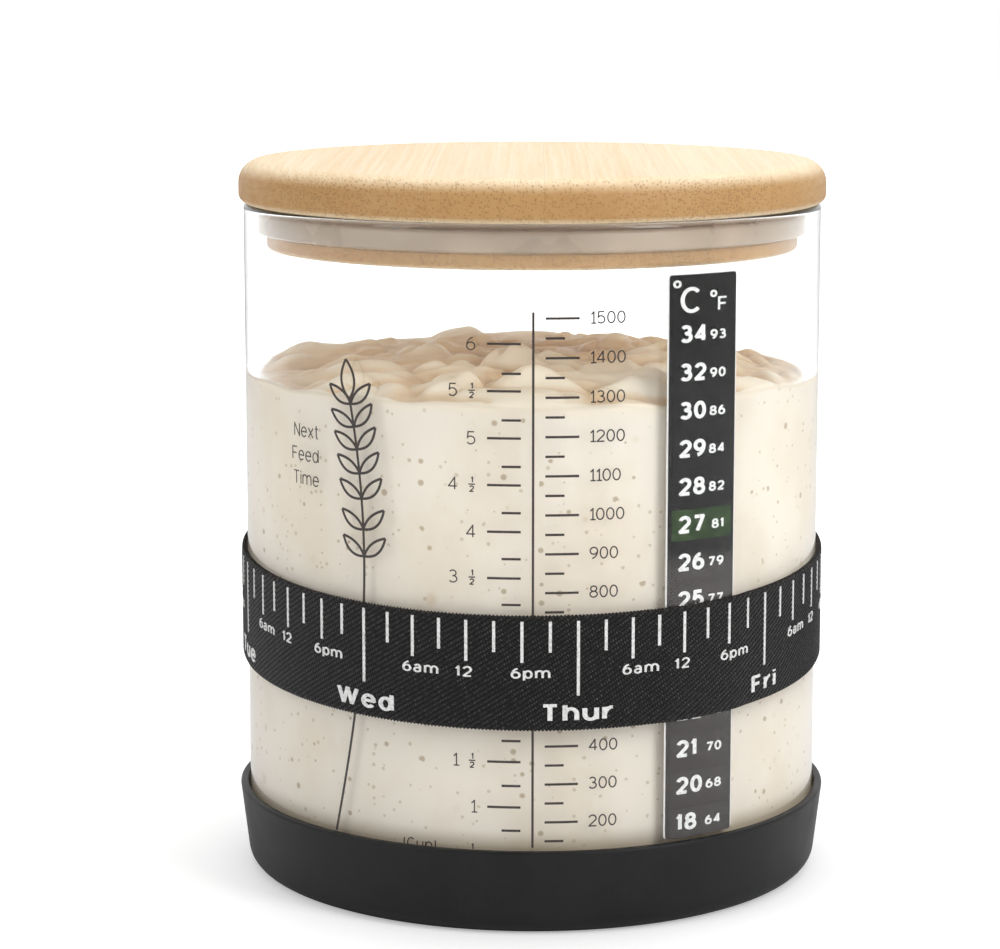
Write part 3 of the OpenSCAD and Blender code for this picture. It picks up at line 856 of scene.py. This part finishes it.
def write(text, height, width, stroke, gap, at=(0, 0), align="left", stretch=1.0, foot=False):
    """Strokes of a line of text in millimetres, with its lower left, lower middle or lower right at a place.
    A letter's unit square is drawn inside its box by half a stroke, and stretch widens it all afterwards.
    With foot set, a 1 stands on a short bar."""
    pen, strokes = 0.0, []
    for letter in text:
        share, lines = LETTERS[letter]
        wide = max(width * share, stroke)
        for points in lines:
            strokes.append(np.stack([pen + stroke / 2 + points[:, 0] * (wide - stroke),
                                     stroke / 2 + points[:, 1] * (height - stroke)], 1))
        if foot and letter == "1":
            stem = pen + stroke / 2 + 0.75 * (wide - stroke)
            strokes.append(line((stem - 0.3 * width, stroke / 2), (stem + 0.3 * width, stroke / 2)))
        pen += wide + gap
    length = (pen - gap) * stretch
    start = at[0] - {"left": 0, "middle": 0.5, "right": 1}[align] * length
    return [points * (stretch, 1) + (start, at[1]) for points in strokes]


# %% Ribbons on a surface


def closer_points(points, step):
    """The same stroke with extra points, so that none lie further apart than the step."""
    length = np.append(0, np.cumsum(np.linalg.norm(np.diff(points, axis=0), axis=1)))
    keep = np.append(True, np.diff(length) > 1e-6)
    length, points = length[keep], points[keep]
    spots = np.unique(np.round(np.append(length, np.arange(0, length[-1], step)), 5))
    spots = spots[np.append(True, np.diff(spots) > 0.2 * step) | np.isin(spots, np.round(length, 5))]
    return np.stack([np.interp(spots, length, points[:, k]) for k in (0, 1)], 1)


def ribbon(points, width, stretch=1.0):
    """Left and right edge of a stroke. At a bend both sides are moved out by 1 / cos(half the bend), at most
    twice the width, which gives a mitre. A closed stroke meets itself."""
    closed = np.linalg.norm(points[0] - points[-1]) < 1e-6
    flat = points / (stretch, 1)
    ahead = np.diff(flat, axis=0)
    ahead /= np.linalg.norm(ahead, axis=1)[:, None]
    first = ahead[-1:] if closed else ahead[:1]
    last = ahead[:1] if closed else ahead[-1:]
    before, after = np.concatenate([first, ahead]), np.concatenate([ahead, last])
    middle = before + after
    middle /= np.maximum(np.linalg.norm(middle, axis=1), 1e-6)[:, None]
    reach = 0.5 * width / np.clip((middle * before).sum(1), 0.5, 1)
    left = np.stack([-middle[:, 1], middle[:, 0]], 1) * reach[:, None]
    return (flat + left) * (stretch, 1), (flat - left) * (stretch, 1)


SHARP_BEND = math.cos(math.radians(48))
LAYER = 0.003


def parts_of(points, width):
    """A stroke cut at its sharp bends. Each cut end is made longer by a third of the width along its own
    direction, so that two parts overlap in a full corner and not in a long spike."""
    points = points[np.append(True, np.linalg.norm(np.diff(points, axis=0), axis=1) > 1e-6)]
    ahead = np.diff(points, axis=0)
    ahead /= np.linalg.norm(ahead, axis=1)[:, None]
    cuts = 1 + np.flatnonzero((ahead[1:] * ahead[:-1]).sum(1) < SHARP_BEND)
    ends = [0, *cuts, len(points) - 1]
    parts = []
    for first, last in zip(ends, ends[1:]):
        part = points[first:last + 1].copy()
        if first > 0:
            part[0] -= ahead[first] * width / 3
        if last < len(points) - 1:
            part[-1] += ahead[last - 1] * width / 3
        parts.append(part)
    return parts


def printed(name, strokes, width, surface, low, high, step=0.8, stretch=1.0):
    """One mesh of closed ribbons. Each station has four corners: left and right, low and high, and surface
    turns (across, up, lift) into a point in metres. Ribbons that follow each other lie a hair apart in height,
    so that no two faces fall together where they cross."""
    points, faces, count = [], [], 0
    for index, part in enumerate(part for stroke in strokes for part in parts_of(stroke, width)):
        left, right = ribbon(closer_points(part, step), width, stretch)
        top = high + LAYER * (index % 4)
        ring = [surface(side[:, 0], side[:, 1], lift + 0 * side[:, 0])
                for side, lift in ((left, low), (right, low), (right, top), (left, top))]
        stations = len(left)
        points.append(np.stack(ring, 1).reshape(-1, 3))
        faces.append(grid_faces(stations, 4)[:, ::-1] + count)
        end = 4 * (stations - 1)
        faces.append(np.array([[0, 1, 2, 3], [end + 3, end + 2, end + 1, end]]) + count)
        count += 4 * stations
    return make_mesh(name, np.concatenate(points), faces, 30)


# %% [markdown]
# The band's print is white textile ink. Every eighth tick is a day, every second one a six-hour mark, and the
# rest are three hours. The ticks and words lie on the crowns of the weave, and their finish carries the same
# weave as the band, so that they look printed and not laid on.

# %% The band's print
DAY_ANGLE = math.radians(41.2)
FIRST_DAY = math.radians(-156.2)
DAYS = ["Sun", "Mon", "Tue", "Wed", "Thur", "Fri", "Sat"]
HOURS = {2: "6am", 4: "12", 6: "6pm"}
TICK_W = 0.65
TICK_MARGIN = 1.0
TICKS = {"day": 16.0, "six": 8.8, "three": 6.6}
INK_LOW, INK_HIGH = -0.1, 0.13
BAND_TOP = 0.5 * BAND_W


def step_s(step):
    """Distance round the band of one of the print's three-hour steps."""
    return (FIRST_DAY + step * DAY_ANGLE / 8) * BAND_R


ticks = []
for step in range(8 * len(DAYS) + 1):
    length = TICKS["day"] if step % 8 == 0 else TICKS["six"] if step % 2 == 0 else TICKS["three"]
    ticks.append(line((step_s(step), BAND_TOP - TICK_MARGIN - length), (step_s(step), BAND_TOP - TICK_MARGIN)))

hour_words, day_words = [], []
HOUR_STRETCH, DAY_STRETCH = 1.5, 1.6
for day, name in enumerate(DAYS):
    day_words += write(name, 3.9, 2.35, 0.66, 0.42, (step_s(8 * day), BAND_TOP - 22.6), "middle", DAY_STRETCH)
    for step, word in HOURS.items():
        at = (step_s(8 * day + step) - 2.35, BAND_TOP - 13.2)
        hour_words += write(word, 2.3, 1.4, 0.34, 0.3, at, "left", HOUR_STRETCH)

white_print, tree = new_finish("white_print", Roughness=0.6, Specular_IOR_Level=0.3)
pillow, chance = weave(tree)
worn = add(tree, "TexNoise", {"Vector": place_of(tree), "Scale": 1400, "Detail": 3}).outputs[0]
white = blend(tree, fade(tree, worn, 0.3, 0.62), (0.62, 0.62, 0.61), (0.86, 0.86, 0.855))
hollow = fade(tree, pillow, 0.05, 0.4, 0.3, 0.0)
fill(tree, principled(tree), {"Base Color": blend(tree, hollow, white, (0.45, 0.45, 0.45))})
bump(tree, pillow, 0.0001, 0.6)

band_print = [
    (printed("band_print_ticks", ticks, TICK_W, on_band, INK_LOW, INK_HIGH, 1.2), ["band_ticks"]),
    (printed("band_print_hours", hour_words, 0.34, on_band, INK_LOW, INK_HIGH, 0.9, HOUR_STRETCH), []),
    (printed("band_print_days", day_words, 0.66, on_band, INK_LOW, INK_HIGH, 0.9, DAY_STRETCH), []),
]
for piece, nodes in band_print:
    dress(piece, white_print, "band", "white_print", *nodes)

# %% [markdown]
# The double scale is dark ink fired onto the glass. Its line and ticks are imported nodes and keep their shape.
# The figures are drawn here: millilitres to the right of the middle line, and cups to the left, where each
# half is a small stacked fraction. A slim wheat ear and a three-word label fill the left side of the print.

# %% The scale's figures
ML_STEP = 8.275
CUP_STEP = 9.9
FIGURE_H = 2.65
INK_W = 0.29


def on_glass(s, z, lift):
    """The point at s round the glass from the front and z above the table, lifted off the glass."""
    angle = s / GLASS_R
    r = GLASS_R + lift
    return np.stack([r * np.sin(angle), -r * np.cos(angle), z], -1) * MM


millilitres = []
for ml in range(100, 1501, 100):
    at = (12.25, INNER_FLOOR + ML_STEP * ml / 100 - FIGURE_H / 2 + 0.1)
    millilitres += write(str(ml), FIGURE_H, 1.85, INK_W, 0.32, at, foot=True)

cups = []
for half in range(1, 13):
    z = INNER_FLOOR + CUP_STEP * half
    if half % 2 == 0:
        cups += write(str(half // 2), 2.85, 2.0, INK_W, 0.3, (-11.75, z - 1.45), "right", foot=True)
        continue
    if half > 1:
        cups += write(str(half // 2), 2.85, 2.0, INK_W, 0.3, (-15.65, z - 1.3), "right", foot=True)
    cups += write("1", 1.35, 1.0, 0.22, 0.2, (-12.5, z + 0.35), "middle")
    cups += write("2", 1.35, 1.0, 0.22, 0.2, (-12.6, z - 1.55), "middle")
    cups.append(line((-13.3, z + 0.08), (-11.9, z + 0.08)))
cups += write("(Cup)", 2.4, 1.7, INK_W, 0.35, (-20.6, 17.9), "right")

fired_ink, tree = new_finish("fired_ink", Roughness=0.35, Specular_IOR_Level=0.5)
speck = add(tree, "TexNoise", {"Vector": place_of(tree), "Scale": 2200, "Detail": 2}).outputs[0]
fill(tree, principled(tree), {
    "Base Color": blend(tree, fade(tree, speck, 0.3, 0.7), (0.036, 0.026, 0.022), (0.066, 0.05, 0.043)),
    "Roughness": fade(tree, speck, 0.3, 0.7, 0.3, 0.5),
})
bump(tree, speck, 0.00002, 0.5)
for node in ("scale_line", "millilitre_ticks", "cup_ticks"):
    refinish(node, fired_ink)
for name, strokes, width in (("millilitre_figures", millilitres, INK_W), ("cup_figures", cups, 0.27)):
    dress(printed(name, strokes, width, on_glass, -0.01, 0.05), fired_ink, "jar", "fired_ink")

# %% [markdown]
# The ear is a common ornament: a stem that bends as one cubic curve, pairs of pointed leaves at seven places
# along it, and one leaf at the tip. A leaf is two curves that meet in a point, bowed more below than above.

# %% The wheat ear and the label
STEM = line((-46.0, 18.9), (-39.5, 46.0), (-33.6, 77.0), (-41.3, 114.0))
LEAF_HEIGHTS = (80.0, 85.8, 92.4, 97.8, 102.9, 107.7, 112.5)
EAR_W = 0.56


def bezier(points, t):
    """A curve pulled towards control points, by the weights of the expanded power (t + (1 - t))^n."""
    n = len(points) - 1
    weights = [math.comb(n, k) * t ** k * (1 - t) ** (n - k) for k in range(n + 1)]
    return sum(weight[:, None] * point for weight, point in zip(weights, points))


def leaf(base, tip, left_bow, right_bow):
    """The two edges of a leaf from base to tip, each bowed sideways by its own amount."""
    axis = tip - base
    sideways = np.array([-axis[1], axis[0]]) / np.linalg.norm(axis)
    t = np.linspace(0, 1, 12)
    middle = base + 0.45 * axis
    return [bezier([base, middle + 2 * bow * sideways, tip], t) for bow in (left_bow, -right_bow)]


stem_points = bezier(STEM, np.linspace(0, 1, 60))
ear = [stem_points]
for z in LEAF_HEIGHTS:
    s_here = np.interp(z, stem_points[:, 1], stem_points[:, 0])
    lean = (np.interp(z + 4, stem_points[:, 1], stem_points[:, 0]) - s_here) / 4
    base = np.array([s_here, z])
    for side, left_bow, right_bow in ((-1, 1.45, 0.95), (1, 0.95, 1.45)):
        reach = np.array([side * 5.5, 4.7])
        tip = base + reach + np.array([lean * reach[1], -lean * reach[0]])
        root = base + np.array([0, 0.5])
        ear += leaf(root, tip, left_bow, right_bow)
crown_base = stem_points[-1]
ear += leaf(crown_base, crown_base + np.array([-0.95, 8.4]), 1.75, 1.75)

label = []
for row, word in enumerate(("Next", "Feed", "Time")):
    label += write(word, 3.0, 2.0, 0.27, 0.45, (-50.6, 104.3 - 5.2 * row), "right")

dress(printed("wheat_ear", ear, EAR_W, on_glass, -0.01, 0.055), fired_ink, "jar", "fired_ink")
dress(printed("label_words", label, 0.27, on_glass, -0.01, 0.05), fired_ink, "jar", "fired_ink")

# %% [markdown]
# The thermometer is a strip of films. Clear adhesive and a clear cover reach a little past the black backing,
# and the adhesive is coloured an opaque pale grey, a painted highlight that draws a thin bright line down both
# sides. Fourteen cells lie on the backing, of which the one at room temperature shows dark green. Each film
# is a closed patch of a cylinder with rounded corners.

# %% The thermometer strip
STRIP_S = STRIP_TURN * GLASS_R
STRIP_TOP = in_mm(strip_high.z)
STRIP_LOW = in_mm(strip_low.z)
CELL_PITCH = 8.12
FIRST_CELL = STRIP_TOP - 12.9


def film(name, middle, wide, low, high, inner, thick, corner=0.5):
    """A patch of the cylinder with its corners cut round: the edge draws in by
    corner - sqrt(corner^2 - d^2) where a row lies d past the start of the corner."""
    near = corner * np.array([0.0, 0.08, 0.25, 0.5, 1.0])
    z = np.concatenate([low + near, np.linspace(low + corner, high - corner, 24)[1:-1], (high - near)[::-1]])
    past = np.clip(np.maximum(low + corner - z, z - high + corner), 0, corner)
    half = wide / 2 - (corner - np.sqrt(corner ** 2 - past ** 2))
    share = np.linspace(-1, 1, 25)
    s = middle + half[:, None] * share
    sheets = [on_glass(s, z[:, None] + 0 * s, lift + 0 * s).reshape(-1, 3) for lift in (inner, inner + thick)]
    rows, columns = s.shape
    face = grid_faces(rows, columns, round_columns=False)
    rim = np.concatenate([np.arange(columns), np.arange(1, rows) * columns + columns - 1,
                          (rows - 1) * columns + np.arange(columns - 2, -1, -1),
                          np.arange(rows - 2, 0, -1) * columns])
    ahead = np.roll(rim, -1)
    side = np.stack([rim, ahead, ahead + rows * columns, rim + rows * columns], 1)
    return make_mesh(name, np.concatenate(sheets), [face[:, ::-1], face + rows * columns, side], 40)


# Painted highlight: the clear adhesive gets an opaque pale colour, which shows as a bright line at the strip's
# edges.
adhesive_finish, tree = new_finish("clear_adhesive", Roughness=0.25)
streak = add(tree, "TexNoise", {"Vector": place_of(tree, (1, 1, 0.2)), "Scale": 260, "Detail": 2}).outputs[0]
fill(tree, principled(tree), {
    "Base Color": blend(tree, streak, (0.86, 0.85, 0.82), (0.93, 0.92, 0.9)),
    "Roughness": fade(tree, streak, 0.3, 0.7, 0.2, 0.32),
})

backing_finish, tree = new_finish("black_film", Roughness=0.3, Specular_IOR_Level=0.1)
soot = add(tree, "TexNoise", {"Vector": place_of(tree), "Scale": 700, "Detail": 3}).outputs[0]
high_up = add(tree, "SeparateXYZ", {0: place_of(tree)}).outputs[2]
washed = fade(tree, high_up, 0.077, 0.083, 1.0, 0.0)
ground = blend(tree, washed, (0.0045, 0.0042, 0.004), (0.062, 0.055, 0.052))
fill(tree, principled(tree), {
    "Base Color": blend(tree, fade(tree, soot, 0.3, 0.7, 0.0, 0.35), ground, (0.016, 0.015, 0.014)),
    "Roughness": fade(tree, soot, 0.3, 0.7, 0.2, 0.3),
})

cell_finish, tree = new_finish("liquid_crystal", Roughness=0.3, Specular_IOR_Level=0.1)
high_up = add(tree, "SeparateXYZ", {0: place_of(tree)}).outputs[2]
LIT_Z = (FIRST_CELL - 5 * CELL_PITCH) * MM
from_lit = sum_of(tree, "ABSOLUTE", sum_of(tree, "SUBTRACT", high_up, LIT_Z))
lit = sum_of(tree, "LESS_THAN", from_lit, CELL_PITCH / 2 * MM)
shimmer = add(tree, "TexNoise", {"Vector": place_of(tree), "Scale": 480, "Detail": 3}).outputs[0]
washed = fade(tree, high_up, 0.077, 0.083, 1.0, 0.0)
idle = blend(tree, washed, (0.0048, 0.0045, 0.0044), (0.060, 0.054, 0.051))
green = blend(tree, fade(tree, shimmer, 0.3, 0.7), (0.013, 0.030, 0.008), (0.026, 0.055, 0.015))
fill(tree, principled(tree), {
    "Base Color": blend(tree, lit, idle, green),
    "Roughness": fade(tree, shimmer, 0.3, 0.7, 0.2, 0.32),
})

height_span = (STRIP_LOW, STRIP_TOP)
adhesive = film("strip_adhesive_film", STRIP_S, STRIP_W, *height_span, 0.0, 0.1, 0.9)
dress(adhesive, adhesive_finish, "jar", "clear_adhesive", "strip_adhesive")
backing = film("strip_backing_film", STRIP_S, STRIP_W - 0.7, STRIP_LOW, STRIP_TOP - 0.3, 0.09, 0.16, 0.6)
dress(backing, backing_finish, "jar", "black_film", "strip_backing")
refinish("strip_cells", cell_finish)

# %% [markdown]
# The figures on the strip are white, large for Celsius and small for Fahrenheit, and the rows step as the
# real scale does. They are printed over the cells, under the cover, which is a clear skin with a weak gloss.

# %% The strip's figures
CELSIUS = (34, 32, 30, 29, 28, 27, 26, 25, 24, 23, 22, 21, 20, 18)
CELLS_LIFT = 0.33
BIG_STROKE, SMALL_STROKE = 0.76, 0.42
BIG_STRETCH, SMALL_STRETCH = 1.25, 1.35
strip_big, strip_small = [], []
for row, degrees in enumerate(CELSIUS):
    z = FIRST_CELL - row * CELL_PITCH
    fahrenheit = round(degrees * 9 / 5 + 32)
    strip_big += write(str(degrees), 3.8, 2.5, BIG_STROKE, 0.36, (STRIP_S - 6.15, z - 1.75), "left", BIG_STRETCH)
    strip_small += write(str(fahrenheit), 2.1, 1.45, SMALL_STROKE, 0.28, (STRIP_S + 5.8, z - 1.35), "right",
                         SMALL_STRETCH)
strip_big += write("C", 5.5, 3.9, BIG_STROKE, 0.3, (STRIP_S - 6.1, STRIP_TOP - 8.4), "left", BIG_STRETCH)
strip_small += write("F", 3.0, 2.1, SMALL_STROKE, 0.3, (STRIP_S + 3.5, STRIP_TOP - 8.3), "left",
                     SMALL_STRETCH)
strip_small.append(arc(STRIP_S - 6.9, STRIP_TOP - 2.2, 0.72, 0.62, 0, 360, 21))
strip_small.append(arc(STRIP_S + 2.3, STRIP_TOP - 4.6, 0.66, 0.56, 0, 360, 21))

strip_white, tree = new_finish("strip_white", Roughness=0.3, Specular_IOR_Level=0.5)
mesh_dots = add(tree, "TexNoise", {"Vector": place_of(tree), "Scale": 1500, "Detail": 2}).outputs[0]
fill(tree, principled(tree), {
    "Base Color": blend(tree, fade(tree, mesh_dots, 0.3, 0.7), (0.68, 0.68, 0.67), (0.84, 0.84, 0.83)),
    "Roughness": fade(tree, mesh_dots, 0.3, 0.7, 0.25, 0.4),
})
for name, strokes, width, stretch in (("strip_celsius", strip_big, BIG_STROKE, BIG_STRETCH),
                                      ("strip_fahrenheit", strip_small, SMALL_STROKE, SMALL_STRETCH)):
    piece = printed(name, strokes, width, on_glass, CELLS_LIFT - 0.09, CELLS_LIFT + 0.015, 0.6, stretch)
    dress(piece, strip_white, "jar", "black_film")

cover_finish, tree = new_finish("clear_film", Roughness=0.06, IOR=1.2, Transmission_Weight=1.0)
ripple = add(tree, "TexNoise", {"Vector": place_of(tree), "Scale": 160, "Detail": 2}).outputs[0]
fill(tree, principled(tree), {"Base Color": blend(tree, ripple, (0.97, 0.975, 0.975), (0.99, 0.99, 0.99))})
bump(tree, ripple, 0.00004, 0.5)
see_through_to_lamps(tree)
cover = film("strip_cover_film", STRIP_S, STRIP_W, *height_span, 0.36, 0.09, 0.9)
dress(cover, cover_finish, "jar", "clear_film", "strip_cover")

# %% [markdown]
# The studio is a white sweep. The floor is a plain pale sheet that keeps the jar's shadow, with a little
# light of its own for the camera alone, so that it runs into the white behind. The world is white where the
# camera or clear glass looks at it, greyer at the sides and behind the camera, which draws the glass's
# edges, and dimmer where it only fills in the shadows.

# %% The studio
bpy.ops.mesh.primitive_plane_add(size=8)
floor = bpy.context.object
floor.name = "studio_floor"
floor_finish, tree = new_finish("studio_white", Roughness=0.9, Specular_IOR_Level=0.05)
paper = add(tree, "TexNoise", {"Vector": place_of(tree), "Scale": 30, "Detail": 2}).outputs[0]
path_kind = add(tree, "LightPath")
seen = sum_of(tree, "MAXIMUM", path_kind.outputs["Is Camera Ray"], path_kind.outputs["Is Transmission Ray"])
from_jar = add(tree, "VectorMath", {0: place_of(tree)}, operation="LENGTH").outputs["Value"]
own_light = fade(tree, from_jar, 0.1, 0.34, 0.36, 1.0)
fill(tree, principled(tree), {
    "Base Color": blend(tree, paper, (0.83, 0.83, 0.835), (0.85, 0.85, 0.85)),
    "Emission Color": (1.0, 1.0, 1.0),
    "Emission Strength": sum_of(tree, "MULTIPLY", seen, own_light),
})
floor.data.materials.append(floor_finish)

world = bpy.data.worlds.new("studio")
scene.world = world
world.use_nodes = True
tree = world.node_tree
tree.nodes.clear()
direction = add(tree, "SeparateXYZ", {0: add(tree, "TexCoord").outputs["Generated"]})
side_on = sum_of(tree, "ABSOLUTE", direction.outputs[0])
sides = fade(tree, side_on, 0.55, 0.97, 1.0, 0.42)
behind = fade(tree, direction.outputs[1], -0.6, 0.15, 0.28, 1.0)
room = sum_of(tree, "MULTIPLY", sides, behind)
path_kind = add(tree, "LightPath")
through = sum_of(tree, "MAXIMUM", path_kind.outputs["Is Glossy Ray"], path_kind.outputs["Is Transmission Ray"])
FILL_LIGHT = 0.62
other = sum_of(tree, "MULTIPLY_ADD", through, sum_of(tree, "SUBTRACT", room, FILL_LIGHT), FILL_LIGHT)
camera_or = sum_of(tree, "MAXIMUM", path_kind.outputs["Is Camera Ray"], other)
sky = add(tree, "Background", {"Color": (1.0, 1.0, 1.0), "Strength": camera_or})
add(tree, "OutputWorld", {"Surface": sky.outputs[0]})


def soft_light(name, place, aim, size, power, colour=(1, 1, 1)):
    """A square lamp at a place, turned to look at a point."""
    lamp = bpy.data.lights.new(name, "AREA")
    lamp.shape = "RECTANGLE"
    lamp.size, lamp.size_y = size
    lamp.energy = power
    lamp.color = colour
    holder = bpy.data.objects.new(name, lamp)
    scene.collection.objects.link(holder)
    holder.location = place
    away = np.array(place) - np.array(aim)
    tip = math.acos(away[2] / np.linalg.norm(away))
    holder.rotation_euler = (tip, 0, math.atan2(away[1], away[0]) + math.pi / 2)
    return holder


MIDDLE = (0, 0, 0.08)
soft_light("key_right", (0.62, -0.55, 0.55), MIDDLE, (0.3, 0.7), 3.2)
soft_light("fill_left", (-0.7, -0.5, 0.4), MIDDLE, (0.25, 0.7), 1.2)
soft_light("top", (0.05, 0.25, 0.95), MIDDLE, (0.8, 0.6), 3.4)

# %% [markdown]
# The camera stands about 0.7 m away and a little above the lid, looking down at the jar, so that the lid's top
# shows as a narrow ellipse. Its place and focal length were worked out from the rims, the lid and the marks.

# %% The camera
CAMERA_FOCUS = 3205.0
CAMERA_PLACE = (0, -0.7243, 0.2093)
CAMERA_PITCH = 0.16439
CAMERA_YAW = 0.00998
PICTURE_W = 1000
lens = bpy.data.cameras.new("camera")
lens.sensor_width = 36
lens.lens = CAMERA_FOCUS / PICTURE_W * lens.sensor_width
lens.clip_start = 0.05
camera = bpy.data.objects.new("camera", lens)
camera.location = CAMERA_PLACE
camera.rotation_euler = (math.pi / 2 - CAMERA_PITCH, 0, CAMERA_YAW)
scene.collection.objects.link(camera)
scene.camera = camera
scene.view_settings.view_transform = "Standard"
